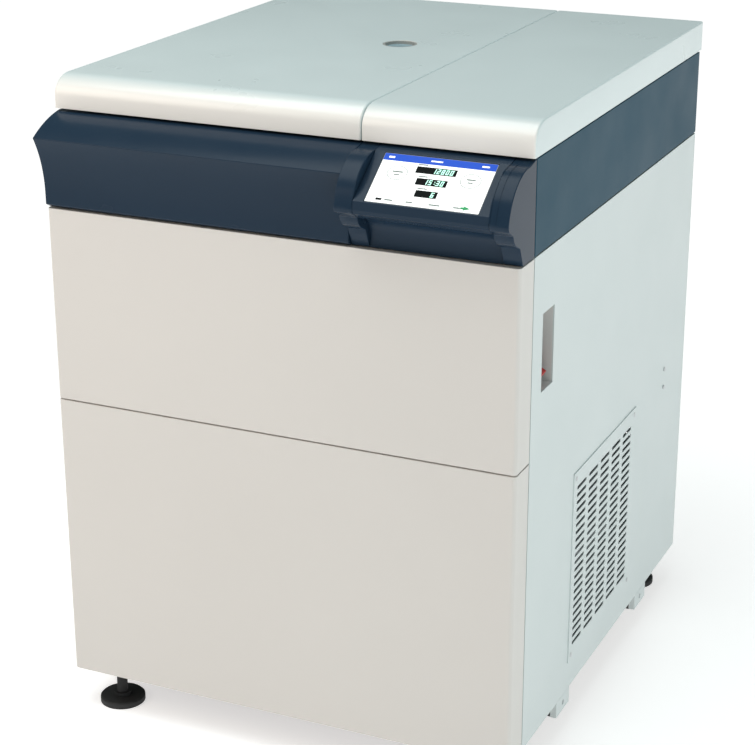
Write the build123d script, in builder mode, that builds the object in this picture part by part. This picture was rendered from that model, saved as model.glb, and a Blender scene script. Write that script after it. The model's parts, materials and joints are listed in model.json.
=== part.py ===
from build123d import *
import os
from math import asin, cos, degrees, hypot, radians, sin

# A floor-standing refrigerated centrifuge: a sheet-metal cabinet with a hinged lid over the
# chamber on the left, a fixed cover on the right, and a dark front bar that ends in a console.
# Axes: +X to the right, -Y to the front, +Z up. The origin lies on the floor under the middle.
# All lengths are in millimetres and all angles in degrees.

# Overall sizes
cabinet_width = 700.0
cabinet_depth = 790.0
floor_gap = 62.0
panel_height = 719.0
lower_panel_height = 435.0
band_height = 130.0
lid_gap = 3.0
lid_height = 44.5
lid_width = 463.0
lid_overhang = 2.0
lid_setback = 37.0
sheet = 2.0
seam = 2.0
clearance = 0.3
running_fit = 0.05

# Hinge at the back of the lid
hinge_knuckle_radius = 7.0
hinge_pin_radius = 3.0
hinge_standoff = 8.0
hinge_leaf_width = 90.0
hinge_leaf_height = 44.0
hinge_leaf_thickness = 2.0

# Front bar and console, seen from the side: distance forward of the front panels
console_reach = 48.0
bar_reach = 24.6
moulding_wall = 3.0
wrap_depth = 49.0
corner_radius = 6.0
lip_depth = 14.0
cheek_width = 26.0

left, right = -cabinet_width / 2, cabinet_width / 2
back_reach = lid_overhang + hinge_standoff + hinge_knuckle_radius
front = console_reach - (cabinet_depth + console_reach + back_reach) / 2
back = front + cabinet_depth
panel_top = floor_gap + panel_height
band_bottom = panel_top + seam
band_top = band_bottom + band_height - seam
lid_bottom = band_top + lid_gap
lid_top = lid_bottom + lid_height
lid_split = left + lid_width
lid_front = front + lid_setback
side_front = front + wrap_depth + seam
post_front = front + wrap_depth + clearance
inner_right = right - sheet - clearance
inner_back = back - sheet - clearance

# Base frame, feet and casters
flange = 12.0
rear_fold = 15.0
base_plate_bottom = 84.0
base_plate = 4.0
base_top = base_plate_bottom + base_plate
skirt_wall = 3.0
post_leg = 30.0
foot_inset_x = 56.0
foot_inset_y = 41.0
foot_radius = 34.0
foot_thickness = 9.5
foot_collar_radius = 13.0
foot_collar_height = 5.5
stem_radius = 8.0
stem_top = 116.0
boss_radius = 16.0
boss_height = 24.0
nut_across = 24.0
nut_height = 10.0
caster_front = 224.0
caster_rear = 602.0
caster_length = 56.0
caster_drop = 26.0
wheel_radius = 25.0
wheel_width = 20.0
wheel_gap = 2.0
axle_radius = 4.0
axle_drop = 13.0
fork_wall = 4.0

# Top deck, chamber and lid
deck_thickness = 3.0
deck_top = band_top - sheet - clearance
divider_setback = 6.0
divider_x = lid_split - divider_setback
chamber_setback = 410.0
bowl_wall = 2.0
insulation_wall = 34.0
armour_wall = 8.0
armour_gap_left, armour_gap_right = 0.4, 5.4
chamber_left = left + flange + armour_gap_left
armour_radius = (divider_x - armour_gap_right - chamber_left) / 2
chamber_x = chamber_left + armour_radius
chamber_y = front + chamber_setback
bowl_radius = armour_radius - armour_wall - insulation_wall - bowl_wall - 2 * clearance
bowl_depth = 268.7
bowl_floor = deck_top - bowl_depth
bowl_corner = 25.0
flange_reach = 21.0
bowl_flange = bowl_radius + flange_reach
gasket_reach = 5.0
gasket_inner = bowl_radius + gasket_reach
bridge_thickness = 6.0
bridge_drop = 30.0
bridge_top = bowl_floor - bridge_drop
bridge_reach = 51.0
bridge_leg = 40.0
lid_wall = 2.5
liner_recess = 2.0
liner_thickness = 2.0
nose_depth = 36.0
nose_height = 27.0
sight_x = left + 342.0
sight_y = front + 437.0
sight_radius = 22.0
sight_tube_wall = 3.8
sight_depth = 4.5
window_thickness = 4.0

# Drive and rotor
shaft_radius = 12.0
motor_radius = 85.0
motor_wall = 6.0
motor_flange_radius = 120.0
motor_flange_drop = 36.0
motor_flange_top = bridge_top - motor_flange_drop
motor_flange = 8.0
motor_length = 244.0
motor_bottom = motor_flange_top - motor_length
motor_nose_radius = 60.0
motor_nose_gap = 8.0
motor_nose_top = bowl_floor - motor_nose_gap
armature_radius = 76.0
armature_inset = 55.0
armature_length = 130.0
mount_circle = 103.0
mount_radius = 14.0
rotor_lift = 12.0
rotor_bottom = bowl_floor + rotor_lift
rotor_height = 110.0
rotor_gap = 25.0
rotor_radius = bowl_radius - rotor_gap
rotor_slope = 46.0
rotor_top_radius = rotor_radius - rotor_slope
rotor_foot_inset = 50.0
rotor_foot_height = 18.0
rotor_rim_height = 50.0
pocket_count = 6
pocket_radius = 20.0
pocket_inset = 80.0
pocket_circle = rotor_radius - pocket_inset
pocket_depth = 96.0
pocket_tilt = 25.0
hub_recess_radius = 36.0
hub_recess_depth = 20.0
stud_radius = 6.0
stud_length = 28.0
knob_radius = 26.0
knob_height = 24.0

# Refrigeration and electrical bay on the right
grille_low_y, grille_high_y = 238.0, 529.0
grille_low_z, grille_high_z = 44.0, 346.0
grille_thickness = 1.5
grille_margin = 16.0
slot_columns, slot_rows = 5, 22
slot_pitch_y, slot_pitch_z = 53.0, 11.86
slot_length, slot_width = 41.0, 5.5
screw_inset = 10.0
screw_head_radius = 3.6
screw_shank_radius = 2.0
condenser_depth = 40.0
condenser_gap = 20.0
fin_count = 22
fin_thickness = 1.6
fan_radius = 108.0
fan_tip_gap = 5.0
fan_blades = 5
fan_hub_radius = 32.0
fan_hub_length = 20.0
shroud_depth = 40.0
fan_motor_radius = 28.0
fan_motor_length = 40.0
service_half = (inner_right - divider_x - sheet) / 2
compressor_setback = 645.0
compressor_x = inner_right - service_half
compressor_y = front + compressor_setback
compressor_play = 34.35
compressor_foot = 2 * (service_half - compressor_play)
foot_margin = 7.0
compressor_radius = compressor_foot / 2 - foot_margin
compressor_dome = 0.58
compressor_height = 220.0
grommet_height = 12.0
grommet_radius = 12.0
grommet_inset = 15.0
grommet_spacing = compressor_foot - 2 * grommet_inset
electronics_front, electronics_back = 80.0, 330.0
electronics_height = 220.0
electronics_gap = 43.0
electronics_fins = 9
fin_slot_depth, fin_slot_width = 30.0, 16.0
pipe_radius = 5.0

# Switch recess on the right side
recess_low_y, recess_high_y = 88.0, 133.0
recess_low_z, recess_high_z = panel_height - 196.0, panel_height - 86.0
rear_screw_setback = 678.0
rear_screw_low, rear_screw_high = 326.0, 357.0
recess_depth = 46.0
recess_wall = 1.5
toggle_tilt = 30.0
toggle_rise = 33.0
toggle_z = recess_low_z + toggle_rise
breaker_width = 34.0
breaker_height = 76.0
breaker_depth = 20.0
toggle_hub_radius = 7.0
toggle_length = 22.0
toggle_pin_radius = 2.0

# Screen
screen_width = 155.0
screen_height = 83.0
screen_thickness = 3.0
screen_recess = 0.6
module_depth = 14.0

# Front mouldings in side view: distances forward or back of the panels, and heights over them
hem_rise = 1.5
rim_depth = 5.0
brow_drop = 26.0
shoulder_back, shoulder_drop = 3.5, 11.0
hollow_reach, hollow_rise = 7.5, 62.0
step_reach, step_rise, step_foot_rise = 2.2, 20.0, 6.0
bar_hem_back = 5.7
nose_rise, lip_rise = 65.0, 59.5
lip_back = 2.0
crown_reach, crown_drop = 24.5, 22.0
under_reach, under_rise = 31.5, 50.8
cheek_steps = ((27.0, 41.5), (20.0, 34.5), (5.6, 28.0), (1.5, 19.0))
cheek_hem_back = 6.9
scoop_back, scoop_rise, scoop_hem_back = 2.0, 33.0, 7.0
screen_foot_reach, screen_foot_rise = 46.0, 76.5
screen_head_back, screen_head_drop = 26.0, 3.7

os.makedirs("parts", exist_ok=True)


def save(piece, name):
    """Label a finished piece and write it to its own file."""
    piece.part.label = name
    export_step(piece.part, f"parts/{name}.step")


def block(x, y, z, mode=Mode.ADD):
    """A block between two opposite corners, given as three pairs of limits."""
    middle = [(low + high) / 2 for low, high in (x, y, z)]
    with Locations(tuple(middle)):
        Box(x[1] - x[0], y[1] - y[0], z[1] - z[0], mode=mode)


def mirrored(a, b, side):
    """The limits a and b on the right, or the same limits mirrored on the left."""
    return tuple(sorted((side * a, side * b)))


def upright(x, y, z, radius, mode=Mode.ADD):
    """A cylinder along Z between two heights."""
    with Locations((x, y, z[0])):
        Cylinder(radius, z[1] - z[0], align=(Align.CENTER, Align.CENTER, Align.MIN), mode=mode)


def along_x(x, y, z, radius, mode=Mode.ADD):
    """A cylinder along X between two limits."""
    with Locations(Location((x[0], y, z), (0, 90, 0))):
        Cylinder(radius, x[1] - x[0], align=(Align.CENTER, Align.CENTER, Align.MIN), mode=mode)


def along_y(x, y, z, radius, mode=Mode.ADD):
    """A cylinder along Y between two limits."""
    with Locations(Location((x, y[0], z), (-90, 0, 0))):
        Cylinder(radius, y[1] - y[0], align=(Align.CENTER, Align.CENTER, Align.MIN), mode=mode)


def side_plane(x):
    """A plane across X whose own axes run back from the front panels and up from the cabinet's foot."""
    return Plane(origin=(x, front, floor_gap), x_dir=(0, 1, 0), z_dir=(1, 0, 0))


# Base frame: an upside-down tray with a threaded boss over each foot
foot_places = [
    (sx * (right - foot_inset_x), y)
    for y in (front + foot_inset_y, back - foot_inset_y)
    for sx in (-1, 1)
]
caster_places = [(sx, front + y) for y in (caster_front, caster_rear) for sx in (-1, 1)]
fork_outer = right - sheet - clearance - skirt_wall - clearance
wheel_outer = fork_outer - fork_wall - wheel_gap
wheel_inner = wheel_outer - wheel_width
fork_inner = wheel_inner - wheel_gap - fork_wall
fork_top = base_plate_bottom
skirt_bottom = floor_gap + sheet + clearance

with BuildPart() as base_frame:
    block((-inner_right, inner_right), (front + sheet + clearance, inner_back), (skirt_bottom, base_top))
    block(
        (-inner_right + skirt_wall, inner_right - skirt_wall),
        (front + sheet + clearance + skirt_wall, inner_back - skirt_wall),
        (skirt_bottom, base_plate_bottom),
        Mode.SUBTRACT,
    )
    corners = base_frame.edges().filter_by(Axis.Z).sort_by(Axis.Y)[:2]
    fillet(corners, corner_radius)
    for x, y in foot_places:
        upright(x, y, (base_top, base_top + boss_height), boss_radius)
        upright(x, y, (base_plate_bottom, base_top + boss_height), stem_radius + running_fit, Mode.SUBTRACT)
save(base_frame, "base_frame")

with BuildPart() as corner_posts:
    for side in (-1, 1):
        for y, inward in ((post_front, 1), (inner_back, -1)):
            flat_y = tuple(sorted((y, y + inward * skirt_wall)))
            leg_y = tuple(sorted((y, y + inward * post_leg)))
            z = (base_top, deck_top - deck_thickness)
            block(mirrored(inner_right - post_leg, inner_right, side), flat_y, z)
            block(mirrored(inner_right - skirt_wall, inner_right, side), leg_y, z)
save(corner_posts, "corner_posts")

# Feet, one to a corner, and the nut that locks each under the base plate
foot_names = ("front_left_foot", "front_right_foot", "rear_left_foot", "rear_right_foot")
for name, (x, y) in zip(foot_names, foot_places):
    with BuildPart() as foot:
        upright(x, y, (0, foot_thickness), foot_radius)
        chamfer(foot.edges().group_by(Axis.Z)[-1], 2)
        upright(x, y, (foot_thickness, foot_thickness + foot_collar_height), foot_collar_radius)
        upright(x, y, (foot_thickness + foot_collar_height, stem_top), stem_radius)
        chamfer(foot.edges().group_by(Axis.Z)[-1], 1)
    save(foot, name)

with BuildPart() as foot_lock_nuts:
    with BuildSketch(Plane.XY.offset(base_plate_bottom - nut_height)):
        with Locations(*foot_places):
            RegularPolygon(nut_across / 2, 6, major_radius=False)
            Circle(stem_radius + running_fit, mode=Mode.SUBTRACT)
    extrude(amount=nut_height)
save(foot_lock_nuts, "foot_lock_nuts")

# Casters: fixed forks whose outer plates lie flush with the side panels
axle_z = floor_gap - axle_drop
with BuildPart() as caster_forks:
    for side, y in caster_places:
        span = (y - caster_length / 2, y + caster_length / 2)
        drop = floor_gap - caster_drop
        block(mirrored(fork_outer - fork_wall, fork_outer, side), span, (drop, fork_top))
        block(mirrored(fork_outer, right, side), span, (drop, floor_gap - clearance))
        block(mirrored(fork_inner, fork_inner + fork_wall, side), span, (drop, fork_top))
        block(mirrored(fork_inner, fork_outer, side), span, (fork_top - fork_wall, fork_top))
        along_x(mirrored(fork_inner, right, side), y, axle_z, axle_radius, Mode.SUBTRACT)
save(caster_forks, "caster_forks")

with BuildPart() as caster_axles:
    for side, y in caster_places:
        along_x(mirrored(fork_inner, right - 1, side), y, axle_z, axle_radius)
save(caster_axles, "caster_axles")

wheel_names = ("front_left_wheel", "front_right_wheel", "rear_left_wheel", "rear_right_wheel")
for name, (side, y) in zip(wheel_names, caster_places):
    with BuildPart() as wheel:
        along_x(mirrored(wheel_inner, wheel_outer, side), y, axle_z, wheel_radius)
        fillet(wheel.edges(), 3)
        along_x(mirrored(fork_inner, right, side), y, axle_z, axle_radius + running_fit, Mode.SUBTRACT)
    save(wheel, name)

# Front panels: sheets that wrap round both corners, with a folded lip at top and bottom


def wrap_outline(inset, depth):
    """The plan of a front panel, drawn inset from its outer face, with rounded front corners."""
    with BuildSketch() as plan:
        with Locations((0, front + inset + (depth - inset) / 2)):
            Rectangle(cabinet_width - 2 * inset, depth - inset)
        fillet(plan.vertices().group_by(Axis.Y)[0], corner_radius - inset)
    return plan.sketch


def front_panel(name, bottom, top):
    """One front panel between two heights."""
    with BuildPart() as panel:
        with BuildSketch(Plane.XY.offset(bottom)):
            add(wrap_outline(0, wrap_depth))
        extrude(amount=top - bottom)
        with BuildSketch(Plane.XY.offset(bottom + sheet)):
            add(wrap_outline(sheet, wrap_depth))
        extrude(amount=top - bottom - 2 * sheet, mode=Mode.SUBTRACT)
        block(
            (left + lip_depth, right - lip_depth),
            (front + lip_depth, front + wrap_depth),
            (bottom, top),
            Mode.SUBTRACT,
        )
        for x, y in foot_places[:2]:
            upright(x, y, (bottom, top), stem_radius + 4, Mode.SUBTRACT)
    save(panel, name)


panel_split = floor_gap + lower_panel_height
front_panel("lower_front_panel", floor_gap, panel_split)
front_panel("upper_front_panel", panel_split + seam, panel_top)

# Side panels, each folded in at the bottom, the top and the back
grille_y = (front + grille_low_y, front + grille_high_y)
grille_z = (floor_gap + grille_low_z, floor_gap + grille_high_z)
recess_y = (front + recess_low_y, front + recess_high_y)
recess_z = (floor_gap + recess_low_z, floor_gap + recess_high_z)
grille_screw_places = [
    (y, z)
    for y in (grille_y[0] + screw_inset, grille_y[1] - screw_inset)
    for z in (grille_z[0] + screw_inset, grille_z[1] - screw_inset)
]
rear_screw_places = [
    (front + rear_screw_setback, floor_gap + z) for z in (rear_screw_low, rear_screw_high)
]


def side_panel(side):
    """The sheet of one side, without its openings."""
    block(mirrored(right - sheet, right, side), (side_front, back), (floor_gap, panel_top))
    block(mirrored(right - rear_fold, right, side), (back - sheet, back), (floor_gap, panel_top))
    block(mirrored(right - flange, right, side), (side_front, back), (floor_gap, floor_gap + sheet))
    block(
        mirrored(right - flange, right, side),
        (side_front + post_leg, back - post_leg - sheet - seam),
        (panel_top - sheet, panel_top),
    )
    for caster_side, y in caster_places:
        block(
            mirrored(right - flange, right - sheet, side),
            (y - caster_length / 2 - 1, y + caster_length / 2 + 1),
            (floor_gap, floor_gap + sheet),
            Mode.SUBTRACT,
        )


with BuildPart() as left_side_panel:
    side_panel(-1)
save(left_side_panel, "left_side_panel")

with BuildPart() as right_side_panel:
    side_panel(1)
    block(
        (right - sheet, right),
        (grille_y[0] + grille_margin, grille_y[1] - grille_margin),
        (grille_z[0] + grille_margin, grille_z[1] - grille_margin),
        Mode.SUBTRACT,
    )
    block((right - sheet, right), recess_y, recess_z, Mode.SUBTRACT)
    for y, z in grille_screw_places + rear_screw_places:
        along_x((right - sheet, right), y, z, screw_shank_radius + running_fit, Mode.SUBTRACT)
save(right_side_panel, "right_side_panel")

# Rear panel with exhaust slots and the hole of the cable gland
rear_half = right - rear_fold - clearance
exhaust_x, exhaust_z = 120.0, 300.0
exhaust_columns, exhaust_rows = 3, 16
exhaust_pitch_x, exhaust_pitch_z = 110.0, 14.0
exhaust_length, exhaust_width = 90.0, 6.0
gland_x, gland_z = 250.0, 130.0
gland_radius = 11.0
with BuildPart() as rear_panel:
    block((-rear_half, rear_half), (back - sheet, back), (floor_gap, panel_top))
    with BuildSketch(Plane(origin=(exhaust_x, back, exhaust_z), x_dir=(-1, 0, 0), z_dir=(0, 1, 0))):
        with GridLocations(exhaust_pitch_x, exhaust_pitch_z, exhaust_columns, exhaust_rows):
            SlotOverall(exhaust_length, exhaust_width)
    extrude(amount=-sheet, mode=Mode.SUBTRACT)
    along_y(gland_x, (back - sheet, back), gland_z, gland_radius + running_fit, Mode.SUBTRACT)
save(rear_panel, "rear_panel")

with BuildPart() as cable_gland:
    along_y(gland_x, (back - sheet - 14, back + 12), gland_z, gland_radius)
    with BuildSketch(Plane(origin=(gland_x, back, gland_z), x_dir=(-1, 0, 0), z_dir=(0, 1, 0))):
        RegularPolygon(gland_radius + 4, 6, major_radius=False)
    extrude(amount=6)
    with BuildSketch(Plane(origin=(gland_x, back - sheet, gland_z), x_dir=(-1, 0, 0), z_dir=(0, 1, 0))):
        RegularPolygon(gland_radius + 4, 6, major_radius=False)
    extrude(amount=-6)
    along_y(gland_x, (back - sheet - 14, back + 12), gland_z, gland_radius - 4, Mode.SUBTRACT)
save(cable_gland, "cable_gland")

# Dark bands between the panels and the lid: two sides and the back
with BuildPart() as upper_bands:
    for side in (-1, 1):
        block(mirrored(right - sheet, right, side), (side_front, back), (band_bottom, band_top))
        block(
            mirrored(right - flange, right, side),
            (side_front, inner_back),
            (band_top - sheet, band_top),
        )
    block(
        (-inner_right, inner_right),
        (back - sheet, back),
        (band_bottom, band_top),
    )
save(upper_bands, "upper_bands")

# Top deck with the chamber mouth and a slot for each lid striker
deck_z = (deck_top - deck_thickness, deck_top)
striker_xs = (left + 70.0, lid_split - 60.0)
striker_y = front + 68.0
striker_width = 26.0
striker_thickness = 3.0
striker_drop = 30.7
striker_bottom = deck_top - striker_drop
bolt_rise = 10.0
bolt_z = striker_bottom + bolt_rise
bolt_radius = 4.0
with BuildPart() as top_deck:
    block((-inner_right, inner_right), (post_front, inner_back), deck_z)
    upright(chamber_x, chamber_y, deck_z, bowl_radius + bowl_wall + clearance, Mode.SUBTRACT)
    for x in striker_xs:
        block(
            (x - striker_width / 2 - 4, x + striker_width / 2 + 4),
            (striker_y - 8, striker_y + 8),
            deck_z,
            Mode.SUBTRACT,
        )
save(top_deck, "top_deck")


# Lid and fixed cover share one section: an upright front that rolls over into a flat top
def cover_outline(inset):
    """The side view of a top cover, drawn inset from its outer face and open to below."""
    nose_y = lid_setback + inset
    tail_y = cabinet_depth + lid_overhang - inset
    low = lid_bottom - floor_gap
    high = lid_top - floor_gap - inset
    with BuildSketch() as view:
        with BuildLine():
            Line((nose_y, low), (nose_y, high - nose_height + inset))
            EllipticalCenterArc(
                (lid_setback + nose_depth, high - nose_height + inset),
                nose_depth - inset,
                nose_height - inset,
                start_angle=180,
                arc_size=-90,
            )
            Line((lid_setback + nose_depth, high), (tail_y, high))
            Line((tail_y, high), (tail_y, low))
            Line((tail_y, low), (nose_y, low))
        make_face()
    return view.sketch


cover_round = 3.0


def cover_shell(x0, x1):
    """A hollow cover between two limits of X, closed at both ends."""
    with BuildPart() as shell:
        with BuildSketch(side_plane(x0)):
            add(cover_outline(0))
        extrude(amount=x1 - x0)
        rim = shell.faces().sort_by(Axis.X)
        ends = rim[0].edges() + rim[-1].edges()
        rounded = [edge for edge in ends if edge.center().Z > lid_bottom + 2 * cover_round]
        fillet([edge for edge in rounded if edge.center().Y < inner_back], cover_round)
        with BuildSketch(side_plane(x0 + lid_wall)):
            add(cover_outline(lid_wall))
        extrude(amount=x1 - x0 - 2 * lid_wall, mode=Mode.SUBTRACT)
    return shell


lid_left = left - lid_overhang
cover_gap = 1.0
cover_left = lid_split + cover_gap / 2
lid_right = lid_split - cover_gap / 2
cover_right = right + lid_overhang
lid_back = back + lid_overhang
liner_z = (lid_bottom + liner_recess, lid_bottom + liner_recess + liner_thickness)

with BuildPart() as right_top_cover:
    add(cover_shell(cover_left, cover_right).part)
    for x in (cover_left + 30, cover_right - 40):
        for y in (lid_front + 60, lid_back - 60):
            upright(x, y, (deck_top, lid_top - lid_wall), 8)
save(right_top_cover, "right_top_cover")

sight_outer = sight_radius + sight_tube_wall
with BuildPart() as lid_shell:
    add(cover_shell(lid_left, lid_right).part)
    upright(sight_x, sight_y, (lid_bottom, lid_top), sight_outer + running_fit, Mode.SUBTRACT)
save(lid_shell, "lid_shell")

liner_inset = lid_wall + clearance
with BuildPart() as lid_liner:
    block(
        (lid_left + liner_inset, lid_right - liner_inset),
        (lid_front + liner_inset, lid_back - liner_inset),
        liner_z,
    )
    upright(sight_x, sight_y, liner_z, sight_outer + running_fit, Mode.SUBTRACT)
save(lid_liner, "lid_liner")

with BuildPart() as lid_insulation:
    block(
        (lid_left + liner_inset, lid_right - liner_inset),
        (lid_front + nose_depth / 2, lid_back - liner_inset),
        (liner_z[1], lid_top - 12),
    )
    upright(sight_x, sight_y, (liner_z[1], lid_top), sight_outer + running_fit, Mode.SUBTRACT)
save(lid_insulation, "lid_insulation")

window_z = (lid_top - sight_depth - window_thickness, lid_top - sight_depth)
with BuildPart() as sight_tube:
    upright(sight_x, sight_y, (liner_z[0], lid_top - 0.5), sight_outer)
    upright(sight_x, sight_y, (window_z[0], lid_top), sight_radius, Mode.SUBTRACT)
    upright(sight_x, sight_y, (liner_z[0], window_z[0]), sight_radius - 2, Mode.SUBTRACT)
save(sight_tube, "sight_tube")

with BuildPart() as sight_window:
    upright(sight_x, sight_y, window_z, sight_radius - running_fit)
save(sight_window, "sight_window")

# Lid strikers hang through the deck, and a sliding bar bolts them
window_half = 7.0
with BuildPart() as lid_strikers:
    for x in striker_xs:
        block(
            (x - striker_width / 2, x + striker_width / 2),
            (striker_y - striker_thickness / 2, striker_y + striker_thickness / 2),
            (striker_bottom, liner_z[0]),
        )
        block(
            (x - striker_width / 2, x + striker_width / 2),
            (striker_y - 6, striker_y + 6),
            (liner_z[0] - 3, liner_z[0]),
        )
        block(
            (x - window_half, x + window_half),
            (striker_y - 6, striker_y + 6),
            (bolt_z - window_half, bolt_z + window_half),
            Mode.SUBTRACT,
        )
save(lid_strikers, "lid_strikers")

bolt_tip = striker_y + striker_thickness / 2 + 2.5
guide_length = 12.0
guide_y = (bolt_tip + 2, bolt_tip + 2 + guide_length)
bar_travel = 12.0
bar_half = 5.0
bar_y = (guide_y[1] + bar_travel + 2, guide_y[1] + bar_travel + 2 + 2 * bar_half)
plunger_radius = 4.0
plunger_length = 30.0
solenoid_x = (striker_xs[0] + striker_xs[1]) / 2
solenoid_y = (bar_y[1] + 3, bar_y[1] + 53)
with BuildPart() as lock_bar:
    block((striker_xs[0] - 10, striker_xs[1] + 10), bar_y, (bolt_z - bar_half, bolt_z + bar_half))
    for x in striker_xs:
        along_y(x, (bolt_tip, bar_y[0]), bolt_z, bolt_radius)
    along_y(solenoid_x, (bar_y[1], bar_y[1] + plunger_length), bolt_z, plunger_radius)
save(lock_bar, "lock_bar")

with BuildPart() as lid_lock:
    for x in striker_xs:
        block((x - 14, x + 14), guide_y, (bolt_z - 10, deck_z[0]))
        along_y(x, guide_y, bolt_z, bolt_radius + running_fit, Mode.SUBTRACT)
    block((solenoid_x - 18, solenoid_x + 18), solenoid_y, (bolt_z - 14, deck_z[0]))
    along_y(solenoid_x, solenoid_y, bolt_z, plunger_radius + running_fit, Mode.SUBTRACT)
save(lid_lock, "lid_lock")

# Rear hinges: barrels behind the gap between the lid and the band
hinge_y = lid_back + hinge_standoff
hinge_z = band_top + lid_gap / 2
hinge_xs = (left + 95.0, lid_split - 95.0)
knuckle_gap = 0.4
third = hinge_leaf_width / 3


def knuckle_span(x, first, last):
    """The limits of X of a knuckle that takes some of the hinge's three equal stretches."""
    start = x - hinge_leaf_width / 2
    return (start + first * third + knuckle_gap / 2, start + last * third - knuckle_gap / 2)


with BuildPart() as cabinet_hinge_leaves:
    for x in hinge_xs:
        for first, last in ((0, 1), (2, 3)):
            span = knuckle_span(x, first, last)
            along_x(span, hinge_y, hinge_z, hinge_knuckle_radius)
            block(span, (back, hinge_y), (hinge_z - hinge_knuckle_radius, hinge_z - lid_gap / 2))
        block(
            (x - hinge_leaf_width / 2, x + hinge_leaf_width / 2),
            (back, back + hinge_leaf_thickness),
            (hinge_z - hinge_leaf_height, hinge_z - hinge_knuckle_radius),
        )
        along_x((x - third * 2, x + third * 2), hinge_y, hinge_z, hinge_pin_radius, Mode.SUBTRACT)
save(cabinet_hinge_leaves, "cabinet_hinge_leaves")

with BuildPart() as hinge_pins:
    for x in hinge_xs:
        along_x((x - hinge_leaf_width / 2, x + hinge_leaf_width / 2), hinge_y, hinge_z, hinge_pin_radius)
save(hinge_pins, "hinge_pins")

lid_leaf_bottom = hinge_z + hinge_knuckle_radius + 1
with BuildPart() as lid_hinge_leaves:
    for x in hinge_xs:
        span = knuckle_span(x, 1, 2)
        along_x(span, hinge_y, hinge_z, hinge_knuckle_radius)
        block(span, (lid_back, hinge_y), (hinge_z + 2, lid_leaf_bottom + 2))
        block(
            (x - hinge_leaf_width / 2, x + hinge_leaf_width / 2),
            (lid_back, lid_back + hinge_leaf_thickness),
            (lid_leaf_bottom, lid_top - 6),
        )
        along_x(span, hinge_y, hinge_z, hinge_pin_radius + running_fit, Mode.SUBTRACT)
save(lid_hinge_leaves, "lid_hinge_leaves")

# Chamber: a steel bowl in foam, inside a thick armour ring that stands on the motor bridge
bowl_outer = bowl_radius + bowl_wall
with BuildPart() as chamber_bowl:
    upright(chamber_x, chamber_y, (bowl_floor - bowl_wall, deck_top), bowl_outer)
    fillet(chamber_bowl.edges().group_by(Axis.Z)[0], bowl_corner)
    upright(chamber_x, chamber_y, (deck_top, deck_top + bowl_wall), bowl_flange)
    with BuildPart(mode=Mode.PRIVATE) as hollow:
        upright(chamber_x, chamber_y, (bowl_floor, deck_top + bowl_wall), bowl_radius)
        fillet(hollow.edges().group_by(Axis.Z)[0], bowl_corner - bowl_wall)
    add(hollow.part, mode=Mode.SUBTRACT)
    upright(chamber_x, chamber_y, (bowl_floor - bowl_wall, bowl_floor), shaft_radius + 4, Mode.SUBTRACT)
save(chamber_bowl, "chamber_bowl")

insulation_inner = bowl_outer + clearance
insulation_outer = insulation_inner + insulation_wall
with BuildPart() as chamber_insulation:
    upright(chamber_x, chamber_y, (bridge_top, deck_z[0]), insulation_outer)
    upright(chamber_x, chamber_y, (bowl_floor - bowl_wall, deck_z[0]), insulation_inner, Mode.SUBTRACT)
    upright(chamber_x, chamber_y, (bridge_top, bowl_floor), motor_nose_radius + 4, Mode.SUBTRACT)
save(chamber_insulation, "chamber_insulation")

armour_inner = insulation_outer + clearance
with BuildPart() as armour_ring:
    upright(chamber_x, chamber_y, (bridge_top, deck_z[0]), armour_inner + armour_wall)
    upright(chamber_x, chamber_y, (bridge_top, deck_z[0]), armour_inner, Mode.SUBTRACT)
save(armour_ring, "armour_ring")

gasket_z = (deck_top + bowl_wall, liner_z[0] - clearance)
with BuildPart() as chamber_gasket:
    upright(chamber_x, chamber_y, gasket_z, bowl_flange - 2)
    upright(chamber_x, chamber_y, gasket_z, gasket_inner, Mode.SUBTRACT)
    fillet(chamber_gasket.edges().group_by(Axis.Z)[-1], 2)
save(chamber_gasket, "chamber_gasket")

# Motor bridge, motor on three rubber mounts, shaft and rotor
bridge_z = (bridge_top - bridge_thickness, bridge_top)
bridge_x = (left + 8, divider_x - clearance)
bridge_y = (chamber_y - bowl_radius - bridge_reach, chamber_y + bowl_radius + bridge_reach)
with BuildPart() as motor_bridge:
    block(bridge_x, bridge_y, bridge_z)
    upright(chamber_x, chamber_y, bridge_z, motor_nose_radius + 4, Mode.SUBTRACT)
    for x in (bridge_x[0], bridge_x[1] - bridge_leg):
        for y in (bridge_y[0], bridge_y[1] - bridge_leg):
            leg_x, leg_y = (x, x + bridge_leg), (y, y + bridge_leg)
            hollow_x = (leg_x[0] + skirt_wall, leg_x[1] - skirt_wall)
            hollow_y = (leg_y[0] + skirt_wall, leg_y[1] - skirt_wall)
            block(leg_x, leg_y, (base_top, bridge_z[0]))
            block(hollow_x, hollow_y, (base_top, bridge_z[0]), Mode.SUBTRACT)
save(motor_bridge, "motor_bridge")

mount_z = (motor_flange_top, bridge_z[0])
with BuildPart() as rubber_mounts:
    with BuildSketch(Plane(origin=(chamber_x, chamber_y, mount_z[0]))):
        with PolarLocations(mount_circle, 3, start_angle=90):
            Circle(mount_radius)
    extrude(amount=mount_z[1] - mount_z[0])
    with BuildSketch(Plane(origin=(compressor_x, compressor_y, base_top))):
        with GridLocations(grommet_spacing, grommet_spacing, 2, 2):
            Circle(grommet_radius)
    extrude(amount=grommet_height)
save(rubber_mounts, "rubber_mounts")

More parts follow.
